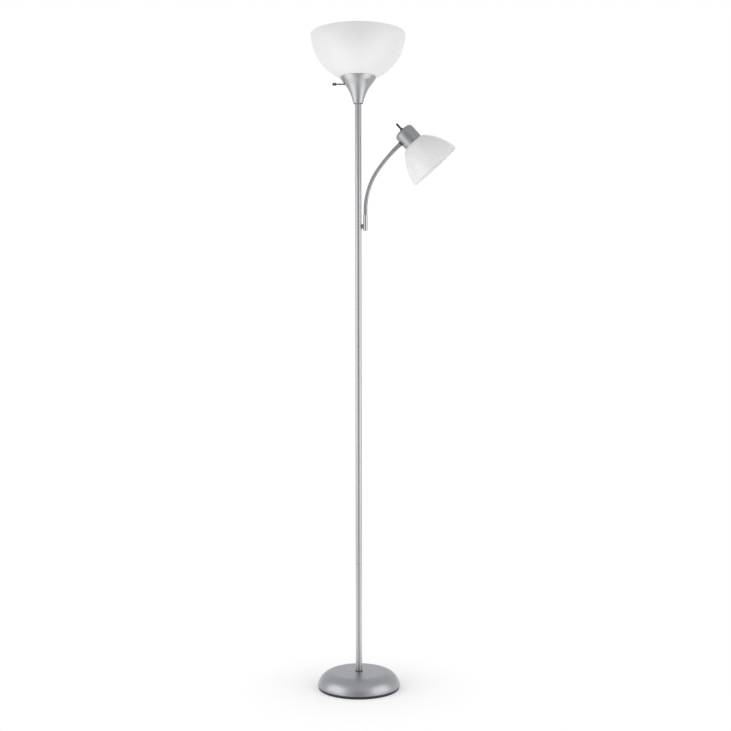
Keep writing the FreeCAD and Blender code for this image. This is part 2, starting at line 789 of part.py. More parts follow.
def neck_pieces():
    turned("neck_base", [("neck_bore_radius", "0"), ("neck_radius", "0")]
           + dome_end("(neck_foot + neck_straight - neck_stub_foot)"),
           across="arm_offset", up="neck_stub_foot")
    for hinge in range(1, links):
        across, up = "hinge_%d_x" % hinge, "hinge_%d_z" % hinge
        run_x = "(hinge_%d_x - %s)" % (hinge + 1, across)
        run_z = "(hinge_%d_z - %s)" % (hinge + 1, up)
        turned("neck_link_%d" % hinge, seat_end + dome_end("sqrt(%s^2 + %s^2)" % (run_x, run_z)),
               across=across, up=up, tilt="atan2(%s; %s)" % (run_x, run_z))
    at_tip = {"across": "hinge_%d_x" % links, "up": "hinge_%d_z" % links, "tilt": "head_tilt"}
    turned("neck_tip", seat_end + [
        ("neck_tip_radius", "neck_tip_length - collar_thickness"),
        ("neck_thread_radius", "neck_tip_length - collar_thickness"),
        ("neck_thread_radius", "neck_tip_length + neck_thread_length"),
        ("neck_bore_radius", "neck_tip_length + neck_thread_length"),
    ], **at_tip)
    turned("neck_collar", [
        ("neck_thread_hole", "neck_tip_length - collar_thickness"),
        ("collar_radius - edge_break", "neck_tip_length - collar_thickness"),
        ("collar_radius", "neck_tip_length - collar_thickness + edge_break"),
        ("collar_radius", "neck_tip_length"),
        ("neck_thread_hole", "neck_tip_length"),
    ], **at_tip)
    inside = "(cup_wall + inner_nut_sink)"
    hex_nut("neck_inner_nut", "inner_nut_flats", "inner_nut_thickness", "neck_thread_hole",
            across="neck_end_x + %s * sin(head_tilt)" % inside,
            up="neck_end_z + %s * cos(head_tilt)" % inside, tilt="head_tilt")


# Lamp holders, bulbs and shades, each made along +Z from the plane its shade sits on

def on_head(setback):
    """Where a piece of the reading head goes whose own origin is that far behind the cup's mouth."""
    return {
        "across": "mouth_x - (%s) * cos(head_tilt)" % setback,
        "up": "mouth_z + (%s) * sin(head_tilt)" % setback,
        "tilt": "90 + head_tilt",
    }


holder_top = [
    ("0", "holder_floor"),
    ("holder_bore_radius", "holder_floor"),
    ("holder_bore_radius", "holder_neck_height"),
    ("holder_neck_radius", "holder_neck_height"),
    ("holder_neck_radius", "0"),
    ("holder_shoulder_radius", "0"),
    ("holder_shoulder_radius", "-holder_shoulder"),
    ("holder_body_radius", "-holder_shoulder - (holder_shoulder_radius - holder_body_radius) / 2"),
    ("holder_body_radius", "-holder_body_depth"),
]


def main_holder():
    holder = turned("main_socket", holder_top + [
        ("(holder_body_radius + holder_boss_radius) / 2", "holder_cone_height - holder_cap_depth"),
        ("holder_boss_radius", "holder_boss_height - holder_cap_depth"),
        ("holder_boss_radius", "-holder_cap_depth"),
        ("thread_hole", "-holder_cap_depth"),
        ("thread_hole", "-holder_body_depth"),
        ("0", "-holder_body_depth"),
    ], up="main_seat")
    drill(holder, "main_stem_hole", "YZ_Plane", "-main_stem_drop", "stem_hole",
          "holder_body_radius + stem_radius")


def reading_holder():
    turned("reading_socket", holder_top + [
        ("holder_boss_radius", "-holder_body_depth - holder_back_taper"),
        ("holder_boss_radius", "holder_boss_gap - reading_rear_inside"),
        ("holder_snout_radius", "holder_boss_gap - reading_rear_inside"),
        ("holder_snout_radius", "-snout_end"),
        ("stem_hole", "-snout_end"),
        ("stem_hole", "-reading_stem_root"),
        ("0", "-reading_stem_root"),
    ], **on_head("cup_shade_inset"))


def holder_fittings(lamp, place, shade_wall):
    """The screw shell, centre contact and shade ring of one lamp holder."""
    turned(lamp + "_screw_shell", [
        ("screw_shell_radius - screw_shell_wall", "contact_top"),
        ("screw_shell_radius", "contact_top"),
        ("screw_shell_radius", "holder_neck_height - screw_shell_wall"),
        ("screw_shell_radius - screw_shell_wall", "holder_neck_height - screw_shell_wall"),
    ], **place("0"))
    turned(lamp + "_contact", [
        ("0", "0"), ("contact_radius", "0"),
        ("contact_radius", "contact_thickness"), ("0", "contact_thickness"),
    ], **place("holder_floor"))
    turned(lamp + "_shade_ring", [
        ("shade_ring_bore", "0"),
        ("shade_ring_radius", "0"),
        ("shade_ring_radius", "shade_ring_height / 2"),
        ("shade_ring_radius - shade_ring_height / 3", "shade_ring_height"),
        ("shade_ring_bore", "shade_ring_height"),
    ], **place(shade_wall))


def bulb(lamp, place):
    radius, length = lamp + "_bulb_radius", lamp + "_bulb_length"
    turned(lamp + "_bulb_cap", [
        ("0", "0"),
        ("contact_radius - screw_shell_wall", "0"),
        ("bulb_cap_radius", "bulb_cap_radius / 3"),
        ("bulb_cap_radius", "bulb_cap_height"),
        ("bulb_cap_radius - bulb_cap_wall", "bulb_cap_height"),
        ("bulb_cap_radius - bulb_cap_wall", "bulb_cap_radius / 2"),
        ("0", "bulb_cap_radius / 2"),
    ], **place("bulb_seat"))
    middle = "(%s - %s)" % (length, radius)
    rise = "(%s - bulb_cap_height)" % middle
    spread = "(%s - bulb_neck_radius)" % radius
    curve = "((%s ^ 2 + %s ^ 2) / (2 * %s))" % (rise, spread, spread)
    inner = "bulb_cap_radius - bulb_cap_wall - push_fit_clearance"
    turned(lamp + "_bulb_glass", [
        (inner, "bulb_cap_radius"),
        (inner, "bulb_cap_height"),
        ("bulb_neck_radius", "bulb_cap_height"),
        (radius, middle, curve, 1),
        ("0", length, radius, 1),
        ("0", "%s - bulb_glass_wall" % length),
        ("%s - bulb_glass_wall" % radius, middle, "%s - bulb_glass_wall" % radius, -1),
        (inner + " - bulb_glass_wall", "bulb_cap_height", "%s - bulb_glass_wall" % curve, -1),
        (inner + " - bulb_glass_wall", "bulb_cap_radius"),
    ], **place("bulb_seat"))


def main_shade():
    turned("main_shade", [
        ("shade_hole", "0"),
        ("main_shade_foot_radius - main_shade_foot_height", "0"),
        ("main_shade_foot_radius", "main_shade_foot_height"),
        ("main_rim_radius", "main_shade_height", "main_shade_sphere", 1),
        ("main_rim_inner", "main_shade_height", "main_shade_wall", 1),
        ("main_foot_inner", "main_shade_wall + main_shade_foot_height", "main_sphere_inner", -1),
        ("main_shade_foot_radius - 2 * main_shade_foot_height", "main_shade_wall"),
        ("shade_hole", "main_shade_wall"),
    ], up="main_seat")


def reading_shade():
    wall = "reading_shade_wall"
    turned("reading_shade", [
        ("shade_hole", "0"),
        ("reading_shade_neck - reading_shade_taper", "0"),
        ("reading_shade_neck", "cup_shade_inset + reading_shade_step_rise"),
        ("reading_shade_step_radius", "cup_shade_inset + 2 * reading_shade_step_rise"),
        ("reading_shade_shoulder_radius", "reading_shoulder_height"),
        ("reading_shade_rim_radius", "reading_rim_height", "reading_shade_curve", 1),
        ("reading_shade_rim_radius - " + wall, "reading_rim_height", wall, 1),
        ("reading_shade_shoulder_radius - reading_shade_corner_inset",
         "reading_shoulder_height + reading_shade_corner_inset",
         "reading_shade_curve - " + wall, -1),
        ("reading_shade_step_radius - reading_shade_corner_inset",
         "cup_shade_inset + 2 * reading_shade_corner_inset"),
        ("reading_shade_neck - " + wall, "cup_shade_inset + " + wall),
        ("reading_shade_neck - reading_shade_taper - " + wall, wall),
        ("shade_hole", wall),
    ], **on_head("cup_shade_inset"))


def reading_cup():
    cup = turned("reading_cup", [
        ("cup_radius", "0"),
        ("cup_radius", "-cup_side"),
        ("cup_shoulder_radius", "-cup_shoulder_depth", "cup_edge_radius", -1),
        ("holder_snout_radius + push_fit_clearance", "-cup_depth", "cup_crown_radius", -1),
        ("holder_snout_radius + push_fit_clearance", "cup_wall - cup_depth"),
        ("cup_shoulder_radius - cup_wall / 3", "cup_wall - cup_shoulder_depth",
         "cup_crown_radius - cup_wall", 1),
        ("cup_radius - cup_wall", "-cup_side", "cup_edge_radius - cup_wall", 1),
        ("cup_radius - cup_wall", "0"),
    ], **on_head("0"))
    drill(cup, "neck_hole", "YZ_Plane", "-cup_neck_entry",
          "neck_thread_radius + cup_neck_clearance", "2 * cup_radius", forward=True)


def flare():
    cup = turned("flare_cup", [
        ("flare_foot_radius - 2 * flare_wall", "0"),
        ("flare_foot_radius - 2 * flare_wall", "-flare_lip"),
        ("flare_foot_radius - flare_wall", "-flare_lip"),
        ("flare_foot_radius", "flare_wall - flare_lip"),
        ("flare_waist_radius", "flare_waist_height", "flare_curve", -1),
        ("flare_rim_radius", "flare_height", "flare_brim_curve", 1),
        ("flare_rim_radius - flare_wall", "flare_height"),
        ("flare_waist_radius - flare_wall", "flare_waist_height + flare_wall / 2",
         "flare_brim_curve - flare_wall", -1),
        ("flare_foot_radius - flare_wall / 2", "flare_plate", "flare_curve + flare_wall", 1),
        ("clear_hole", "flare_plate"),
        ("clear_hole", "0"),
    ], up="pole_top")
    drill(cup, "flare_stem_hole", "YZ_Plane", "main_stem_height - pole_top",
          "stem_radius + flare_stem_gap", "flare_rim_radius + flare_wall")
    threaded_tube("top_nipple", "(top_nipple_top - top_nipple_foot)", "top_nipple_foot")
    hex_nut("top_nut", "nut_flats", "nut_thickness", "thread_hole", up="pole_top + flare_plate")


# Switches

def switch_pieces():
    turned("main_switch_stem", [
        ("0", "main_stem_root"),
        ("stem_radius", "main_stem_root"),
        ("stem_radius", "main_stem_reach + knob_socket - push_fit_clearance"),
        ("0", "main_stem_reach + knob_socket - push_fit_clearance"),
    ], up="main_stem_height", tilt="-90")
    groove_end = "knob_groove_start + 2 * knob_groove_bevel + knob_groove_floor"
    knob = turned("main_switch_knob", [
        ("stem_radius + push_fit_clearance", "0"),
        ("knob_radius - edge_break", "0"),
        ("knob_radius", "edge_break"),
        ("knob_radius", "knob_groove_start"),
        ("knob_radius - knob_groove_depth", "knob_groove_start + knob_groove_bevel"),
        ("knob_radius - knob_groove_depth", groove_end + " - knob_groove_bevel"),
        ("knob_radius", groove_end),
        ("knob_radius", "knob_length - knob_end_chamfer"),
        ("knob_radius - knob_end_chamfer", "knob_length"),
        ("0", "knob_length"),
        ("0", "knob_socket"),
        ("stem_radius + push_fit_clearance", "knob_socket"),
    ], across="-main_stem_reach", up="main_stem_height", tilt="-90")
    flute_knob(knob)
    hex_nut("reading_switch_nut", "collar_nut_flats", "collar_nut_thickness",
            "holder_snout_radius + thread_clearance", **on_head("cup_depth + collar_nut_thickness"))
    tip = "(reading_rear + reading_stem_reach)"
    turned("reading_switch_stem", [
        ("0", "-reading_stem_root - edge_break"),
        ("0", "-" + tip),
        ("reading_rod_radius - reading_rod_round", "-" + tip),
        ("reading_rod_radius", "reading_rod_round - " + tip, "reading_rod_round", 1),
        ("reading_rod_radius", "-snout_end - reading_rod_gap"),
        ("stem_radius", "-snout_end - reading_rod_gap"),
        ("stem_radius", "-reading_stem_root - edge_break"),
    ], **on_head("cup_shade_inset"))


def flute_knob(knob):
    """Flutes round the knob: one groove along its side, repeated about its axis."""
    sketch = new_sketch(knob, "flute_circle", "XY_Plane")
    edge = sketch.addGeometry(
        Part.Circle(FreeCAD.Vector(value("knob_radius"), 0, 0), FreeCAD.Vector(0, 0, 1),
                    value("knob_flute_radius")), False)
    hold_point(sketch, edge, 3, "knob_radius", "0")
    hold(sketch, "Radius", (edge,), "knob_flute_radius")
    before = knob.Shape.Volume
    flute = knob.newObject("PartDesign::Pocket", "knob_flute")
    flute.Profile = sketch
    flute.Type = "Length"
    flute.Reversed = True
    flute.setExpression("Length", bound("knob_length"))
    document.recompute()
    one = before - knob.Shape.Volume
    pattern = knob.newObject("PartDesign::PolarPattern", "knob_flutes_round")
    pattern.Originals = [flute]
    pattern.Axis = (sketch, ["N_Axis"])
    pattern.Angle = 360
    pattern.setExpression("Occurrences", bound("knob_flutes"))
    knob.Tip = pattern
    document.recompute()
    if not before - knob.Shape.Volume > one > 0:
        raise ValueError("the knob has no flutes")


def write_pieces():
    document.recompute()
    for item in document.Objects:
        if "Invalid" in item.State or "Error" in item.State:
            raise ValueError(item.Label + " failed")
    for name, piece in pieces.items():
        if piece.Shape.isNull() or not piece.Shape.isValid():
            raise ValueError(name + " has no valid shape")
    os.makedirs("parts", exist_ok=True)
    for name, piece in pieces.items():
        piece.Shape.exportStep(os.path.join("parts", name + ".step"))
    print(len(pieces), "pieces written")


base_pieces()
cord_bushing()
pole_pieces()
lead_pieces()
arm_pieces()
neck_pieces()
main_holder()
reading_holder()
holder_fittings("main", lambda setback: {"up": "main_seat + (%s)" % setback}, "main_shade_wall")
holder_fittings("reading", lambda setback: on_head("cup_shade_inset - (%s)" % setback),
                "reading_shade_wall")
bulb("main", lambda setback: {"up": "main_seat + (%s)" % setback})
bulb("reading", lambda setback: on_head("cup_shade_inset - (%s)" % setback))
main_shade()
reading_shade()
reading_cup()
flare()
switch_pieces()
write_pieces()
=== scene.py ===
import math

import bpy
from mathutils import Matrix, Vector


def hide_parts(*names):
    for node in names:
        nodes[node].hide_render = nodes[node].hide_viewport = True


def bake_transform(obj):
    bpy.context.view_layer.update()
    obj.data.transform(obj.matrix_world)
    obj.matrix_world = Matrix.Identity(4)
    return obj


# A floor lamp with a reading light on a bending neck. Metres; +Z up, the pole on the Z axis,
# the reading light towards +X and the front towards -Y.

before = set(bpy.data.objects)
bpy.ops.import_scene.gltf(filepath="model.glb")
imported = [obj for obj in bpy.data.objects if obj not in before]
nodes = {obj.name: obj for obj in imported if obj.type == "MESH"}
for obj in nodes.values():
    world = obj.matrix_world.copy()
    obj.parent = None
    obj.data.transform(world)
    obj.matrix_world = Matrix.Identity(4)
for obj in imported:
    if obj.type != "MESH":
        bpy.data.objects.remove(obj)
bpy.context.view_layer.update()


# Studio

studio = {
    "lensLength": 55.963,
    "sensorWidth": 36.0,
    "cameraPlace": (0.0, -3.1836, 0.9641),
    "cameraTurn": (-0.368, 0.079, -0.352),  # degrees: tilt, lean and swing
    "shiftUp": -0.02,
    "skyLight": 0.60,               # what the surroundings throw on dull surfaces
    "floorSize": 30.0,
    "floorShade": (0.76, 0.76, 0.76),
    "floorRoughness": 0.9,
    "floorGlow": 0.31,
    "shadowStart": 0.12,            # from the pole out to here the floor takes shadows in full
    "shadowReach": 0.36,            # past this from the pole the floor is plain white
}

softboxes = {
    "leftSoftbox": {
        "place": (-1.50, -0.55, 1.0), "aim": (0.0, 0.0, 1.0), "size": (1.7, 1.6), "power": 12.4,
    },
    "rightSoftbox": {
        "place": (1.46, -0.65, 1.0), "aim": (0.0, 0.0, 1.0), "size": (1.6, 1.6), "power": 11.4,
    },
}

# Cards that only show in what is glossy, fading out over soft, a share of their half width
cards = {
    "frontCard": {
        "place": (0.0, -3.7, 1.4), "turn": (90.0, 0.0, 0.0), "size": (3.4, 3.6),
        "glow": 0.45, "soft": 0.6,
    },
    "ceilingCard": {
        "place": (0.0, 0.0, 3.2), "turn": (180.0, 0.0, 0.0), "size": (8.0, 8.0),
        "glow": 0.92, "soft": 0.2,
    },
    "leftFloorCard": {
        "place": (-1.08, -0.2, 0.01), "turn": (0.0, 0.0, 0.0), "size": (2.1, 3.2),
        "glow": 1.85, "soft": 0.35,
    },
    "rightFloorCard": {
        "place": (1.08, -0.2, 0.01), "turn": (0.0, 0.0, 0.0), "size": (2.1, 3.2),
        "glow": 1.85, "soft": 0.35,
    },
    "frontFloorCard": {
        "place": (0.0, -1.9, 0.012), "turn": (0.0, 0.0, 0.0), "size": (1.7, 3.8),
        "glow": 0.6, "soft": 0.8,
    },
}


def selectNone():
    bpy.ops.object.select_all(action="DESELECT")


def newMaterial(name):
    mat = bpy.data.materials.new(name)
    mat.use_nodes = True
    return mat, mat.node_tree, mat.node_tree.nodes["Principled BSDF"]


def aimAt(obj, target):
    obj.rotation_euler = (Vector(target) - obj.location).to_track_quat("-Z", "Y").to_euler()


def seenRays(tree):
    # 1 for rays that look straight at a thing, or at it in a mirror or through glass
    path = tree.nodes.new("ShaderNodeLightPath")
    first = tree.nodes.new("ShaderNodeMath")
    first.operation = "MAXIMUM"
    second = tree.nodes.new("ShaderNodeMath")
    second.operation = "MAXIMUM"
    tree.links.new(path.outputs["Is Camera Ray"], first.inputs[0])
    tree.links.new(path.outputs["Is Glossy Ray"], first.inputs[1])
    tree.links.new(first.outputs[0], second.inputs[0])
    tree.links.new(path.outputs["Is Transmission Ray"], second.inputs[1])
    return second.outputs[0]


def makeWorld():
    world = bpy.data.worlds.new("paleRoom")
    bpy.context.scene.world = world
    world.use_nodes = True
    tree = world.node_tree
    lit = tree.nodes["Background"]
    lit.inputs["Color"].default_value = (1.0, 1.0, 1.0, 1.0)
    lit.inputs["Strength"].default_value = studio["skyLight"]
    seen = tree.nodes.new("ShaderNodeBackground")
    seen.inputs["Color"].default_value = (1.0, 1.0, 1.0, 1.0)
    seen.inputs["Strength"].default_value = 1.0
    mix = tree.nodes.new("ShaderNodeMixShader")
    tree.links.new(seenRays(tree), mix.inputs[0])
    tree.links.new(lit.outputs[0], mix.inputs[1])
    tree.links.new(seen.outputs[0], mix.inputs[2])
    tree.links.new(mix.outputs[0], tree.nodes["World Output"].inputs["Surface"])


def makeFloor():
    selectNone()
    bpy.ops.mesh.primitive_plane_add(size=studio["floorSize"], location=(0.0, 0.0, 0.0))
    floor = bpy.context.object
    floor.name = "paleFloor"
    mat, tree, shader = newMaterial("floorPaint")
    shader.inputs["Base Color"].default_value = (*studio["floorShade"], 1.0)
    shader.inputs["Roughness"].default_value = studio["floorRoughness"]
    shader.inputs["Specular IOR Level"].default_value = 0.0
    glow = tree.nodes.new("ShaderNodeEmission")
    glow.inputs["Strength"].default_value = studio["floorGlow"]
    near = tree.nodes.new("ShaderNodeAddShader")
    white = tree.nodes.new("ShaderNodeEmission")
    white.inputs["Strength"].default_value = 1.0
    coords = tree.nodes.new("ShaderNodeTexCoord")
    away = tree.nodes.new("ShaderNodeVectorMath")
    away.operation = "LENGTH"
    reach = tree.nodes.new("ShaderNodeMapRange")
    reach.interpolation_type = "SMOOTHSTEP"
    reach.inputs["From Min"].default_value = studio["shadowStart"]
    reach.inputs["From Max"].default_value = studio["shadowReach"]
    both = tree.nodes.new("ShaderNodeMath")
    both.operation = "MULTIPLY"
    mix = tree.nodes.new("ShaderNodeMixShader")
    tree.links.new(coords.outputs["Object"], away.inputs[0])
    tree.links.new(away.outputs["Value"], reach.inputs["Value"])
    tree.links.new(reach.outputs["Result"], both.inputs[0])
    tree.links.new(seenRays(tree), both.inputs[1])
    tree.links.new(shader.outputs[0], near.inputs[0])
    tree.links.new(glow.outputs[0], near.inputs[1])
    tree.links.new(both.outputs[0], mix.inputs[0])
    tree.links.new(near.outputs[0], mix.inputs[1])
    tree.links.new(white.outputs[0], mix.inputs[2])
    tree.links.new(mix.outputs[0], tree.nodes["Material Output"].inputs["Surface"])
    floor.data.materials.append(mat)


def softEdge(tree, soft):
    # 1 over the middle of a card, fading to 0 at its edges
    coords = tree.nodes.new("ShaderNodeTexCoord")
    size = tree.nodes.new("ShaderNodeVectorMath")
    size.operation = "ABSOLUTE"
    apart = tree.nodes.new("ShaderNodeSeparateXYZ")
    tree.links.new(coords.outputs["Object"], size.inputs[0])
    tree.links.new(size.outputs[0], apart.inputs[0])
    product = tree.nodes.new("ShaderNodeMath")
    product.operation = "MULTIPLY"
    for index, axis in enumerate(("X", "Y")):
        fade = tree.nodes.new("ShaderNodeMapRange")
        fade.interpolation_type = "SMOOTHSTEP"
        fade.inputs["From Min"].default_value = 0.5
        fade.inputs["From Max"].default_value = 0.5 - 0.5 * soft
        tree.links.new(apart.outputs[axis], fade.inputs["Value"])
        tree.links.new(fade.outputs["Result"], product.inputs[index])
    return product.outputs[0]


def makeCards():
    for name, card in cards.items():
        selectNone()
        turn = [math.radians(angle) for angle in card["turn"]]
        bpy.ops.mesh.primitive_plane_add(size=1.0, location=card["place"], rotation=turn)
        plane = bpy.context.object
        plane.name = name
        plane.scale = (*card["size"], 1.0)
        mat, tree, shader = newMaterial(name + "Paint")
        tree.nodes.remove(shader)
        glow = tree.nodes.new("ShaderNodeEmission")
        glow.inputs["Strength"].default_value = card["glow"]
        clear = tree.nodes.new("ShaderNodeBsdfTransparent")
        mix = tree.nodes.new("ShaderNodeMixShader")
        tree.links.new(softEdge(tree, card["soft"]), mix.inputs[0])
        tree.links.new(clear.outputs[0], mix.inputs[1])
        tree.links.new(glow.outputs[0], mix.inputs[2])
        tree.links.new(mix.outputs[0], tree.nodes["Material Output"].inputs["Surface"])
        plane.data.materials.append(mat)
        plane.visible_camera = False
        plane.visible_diffuse = False
        plane.visible_transmission = False
        plane.visible_shadow = False


def makeLights():
    for name, box in softboxes.items():
        lamp = bpy.data.lights.new(name, "AREA")
        lamp.shape = "RECTANGLE"
        lamp.size, lamp.size_y = box["size"]
        lamp.energy = box["power"]
        light = bpy.data.objects.new(name, lamp)
        bpy.context.scene.collection.objects.link(light)
        light.location = box["place"]
        aimAt(light, box["aim"])
        light.visible_camera = False


def makeCamera():
    lens = bpy.data.cameras.new("frontCamera")
    lens.lens = studio["lensLength"]
    lens.sensor_width = studio["sensorWidth"]
    lens.shift_y = studio["shiftUp"]
    camera = bpy.data.objects.new("frontCamera", lens)
    bpy.context.scene.collection.objects.link(camera)
    camera.location = studio["cameraPlace"]
    tilt, lean, swing = studio["cameraTurn"]
    camera.rotation_euler = (math.radians(90.0 + tilt), math.radians(lean), math.radians(swing))
    bpy.context.scene.camera = camera


bpy.context.scene.view_settings.view_transform = "Standard"
makeWorld()
makeFloor()
makeCards()
makeLights()
makeCamera()
print("studio ready")


# Finishes

def noise(tree, scale, detail, stretch=None):
    # a noise on the piece's own coordinates, drawn out along an axis where stretch says so
    coords = tree.nodes.new("ShaderNodeTexCoord")
    texture = tree.nodes.new("ShaderNodeTexNoise")
    texture.inputs["Scale"].default_value = scale
    texture.inputs["Detail"].default_value = detail
    if stretch is None:
        tree.links.new(coords.outputs["Object"], texture.inputs["Vector"])
    else:
        mapping = tree.nodes.new("ShaderNodeMapping")
        mapping.inputs["Scale"].default_value = stretch
        tree.links.new(coords.outputs["Object"], mapping.inputs["Vector"])
        tree.links.new(mapping.outputs["Vector"], texture.inputs["Vector"])
    return texture.outputs["Fac"]


def between(tree, value, low, high, start=0.3, stop=0.7):
    spread = tree.nodes.new("ShaderNodeMapRange")
    spread.inputs["From Min"].default_value = start
    spread.inputs["From Max"].default_value = stop
    spread.inputs["To Min"].default_value = low
    spread.inputs["To Max"].default_value = high
    tree.links.new(value, spread.inputs["Value"])
    return spread.outputs["Result"]


def twoTone(tree, value, dark, light, start=0.3, stop=0.7):
    ramp = tree.nodes.new("ShaderNodeValToRGB")
    ramp.color_ramp.elements[0].position = start
    ramp.color_ramp.elements[0].color = (*dark, 1.0)
    ramp.color_ramp.elements[1].position = stop
    ramp.color_ramp.elements[1].color = (*light, 1.0)
    tree.links.new(value, ramp.inputs["Fac"])
    return ramp.outputs["Color"]


def bumps(tree, shader, layers):
    # layers of (height, distance), each on top of the one before
    below = None
    for height, distance in layers:
        bump = tree.nodes.new("ShaderNodeBump")
        bump.inputs["Distance"].default_value = distance
        bump.inputs["Strength"].default_value = 1.0
        tree.links.new(height, bump.inputs["Height"])
        if below is not None:
            tree.links.new(below, bump.inputs["Normal"])
        below = bump.outputs["Normal"]
    tree.links.new(below, shader.inputs["Normal"])


def scaled(colour, factor):
    return tuple(channel * factor for channel in colour)


def metalFinish(name, look):
    mat, tree, shader = newMaterial(name)
    shader.inputs["Metallic"].default_value = look["metallic"]
    flakes = noise(tree, look["flakeScale"], look["flakeDetail"])
    cloud = noise(tree, look["cloudScale"], look["cloudDetail"])
    drawn = noise(tree, look["lineScale"], look["lineDetail"], look["lineStretch"])
    mixed = tree.nodes.new("ShaderNodeMath")
    mixed.operation = "ADD"
    tree.links.new(between(tree, flakes, 0.0, look["flakeShare"]), mixed.inputs[0])
    tree.links.new(between(tree, cloud, 0.0, 1.0 - look["flakeShare"]), mixed.inputs[1])
    dark = scaled(look["colour"], 1.0 - look["unevenness"])
    light = scaled(look["colour"], 1.0 + look["unevenness"])
    tree.links.new(twoTone(tree, mixed.outputs[0], dark, light, 0.0, 1.0), shader.inputs["Base Color"])
    tree.links.new(between(tree, cloud, look["roughness"] - look["roughnessSpread"],
                           look["roughness"] + look["roughnessSpread"]), shader.inputs["Roughness"])
    bumps(tree, shader, [(cloud, look["ripple"]), (flakes, look["flakeHeight"]),
                         (drawn, look["lineHeight"])])
    return mat


satinLook = {
    "colour": (0.300, 0.305, 0.324), "metallic": 0.95, "unevenness": 0.03, "flakeShare": 0.55,
    "flakeScale": 2400.0, "cloudScale": 26.0, "lineScale": 900.0, "lineStretch": (1.0, 1.0, 0.02),
    "flakeDetail": 2.0, "cloudDetail": 4.0, "lineDetail": 3.0,
    "roughness": 0.34, "roughnessSpread": 0.02,
    "ripple": 0.00001, "flakeHeight": 0.0000006, "lineHeight": 0.0,
}
poleLook = dict(satinLook, colour=(0.342, 0.345, 0.357), roughness=0.31, lineHeight=0.0000002)
armLook = dict(satinLook, colour=(0.37, 0.372, 0.375), roughness=0.17)
flareLook = dict(satinLook, colour=(0.335, 0.341, 0.352), roughness=0.35)
# the reading cup's silver is darkened: painted shade standing in for less light falling on it from
# above
cupShadedLook = dict(satinLook, colour=(0.280, 0.288, 0.302), roughness=0.40)
stemLook = dict(satinLook, colour=(0.190, 0.192, 0.195), roughness=0.30)
neckLook = dict(satinLook, colour=(0.295, 0.297, 0.304), metallic=1.0, roughness=0.19, unevenness=0.05)
zincLook = dict(satinLook, colour=(0.64, 0.64, 0.60), metallic=1.0, roughness=0.34, unevenness=0.12,
                cloudScale=120.0)
nickelLook = dict(satinLook, colour=(0.72, 0.70, 0.66), metallic=1.0, roughness=0.22)
brassLook = dict(satinLook, colour=(0.78, 0.60, 0.30), metallic=1.0, roughness=0.26, unevenness=0.10)


def plasticFinish(name, look):
    mat, tree, shader = newMaterial(name)
    grain = noise(tree, look["grainScale"], look["grainDetail"])
    cloud = noise(tree, look["cloudScale"], look["cloudDetail"])
    dark = scaled(look["colour"], 1.0 - look["unevenness"])
    light = scaled(look["colour"], 1.0 + look["unevenness"])
    tree.links.new(twoTone(tree, cloud, dark, light), shader.inputs["Base Color"])
    tree.links.new(between(tree, grain, look["roughness"] - look["roughnessSpread"],
                           look["roughness"] + look["roughnessSpread"]), shader.inputs["Roughness"])
    shader.inputs["Subsurface Weight"].default_value = look["glowThrough"]
    shader.inputs["Subsurface Radius"].default_value = look["glowRadius"]
    shader.inputs["Subsurface Scale"].default_value = 1.0
    bumps(tree, shader, [(cloud, look["ripple"]), (grain, look["grainHeight"])])
    return mat


blackLook = {
    "colour": (0.018, 0.018, 0.020), "unevenness": 0.25, "grainScale": 1500.0, "cloudScale": 40.0,
    "grainDetail": 2.0, "cloudDetail": 4.0,
    "roughness": 0.42, "roughnessSpread": 0.05, "glowThrough": 0.0, "glowRadius": (0.001, 0.001, 0.001),
    "ripple": 0.00006, "grainHeight": 0.00002,
}
switchLook = dict(blackLook, colour=(0.009, 0.009, 0.010), roughness=0.50)
smokeLook = dict(blackLook, colour=(0.062, 0.062, 0.065))
rubberLook = dict(blackLook, colour=(0.030, 0.030, 0.031), roughness=0.72, grainScale=900.0,
                  grainHeight=0.00005)
# near-black washer under the pole: a real fibre washer whose dark colour is also painted contact shadow
# at the pole's foot
washerAndShadowLook = dict(blackLook, colour=(0.045, 0.040, 0.038), roughness=0.8, grainScale=1100.0,
                 grainHeight=0.00004)
shadeLook = dict(blackLook, colour=(0.782, 0.783, 0.787), unevenness=0.010, roughness=0.36,
                 roughnessSpread=0.03, cloudScale=9.0, grainScale=700.0, glowThrough=0.35,
                 glowRadius=(0.006, 0.006, 0.006), ripple=0.0001, grainHeight=0.000008)
# the main bowl is the same frosted plastic as the reading shade, made darker: painted shade for how
# light falls on it
shadedBowlLook = dict(shadeLook, colour=(0.752, 0.753, 0.757))
bulbLook = dict(shadeLook, colour=(0.86, 0.86, 0.85), roughness=0.22, glowThrough=0.0,
                grainHeight=0.000002)
spliceLook = dict(blackLook, colour=(0.55, 0.55, 0.52), roughness=0.38, glowThrough=0.15)
sheathLook = dict(blackLook, colour=(0.28, 0.27, 0.24), roughness=0.34, glowThrough=0.1)
weightLook = dict(blackLook, colour=(0.16, 0.155, 0.15), unevenness=0.35, roughness=0.85,
                  cloudScale=220.0, grainScale=900.0, grainHeight=0.0002, ripple=0.0004)

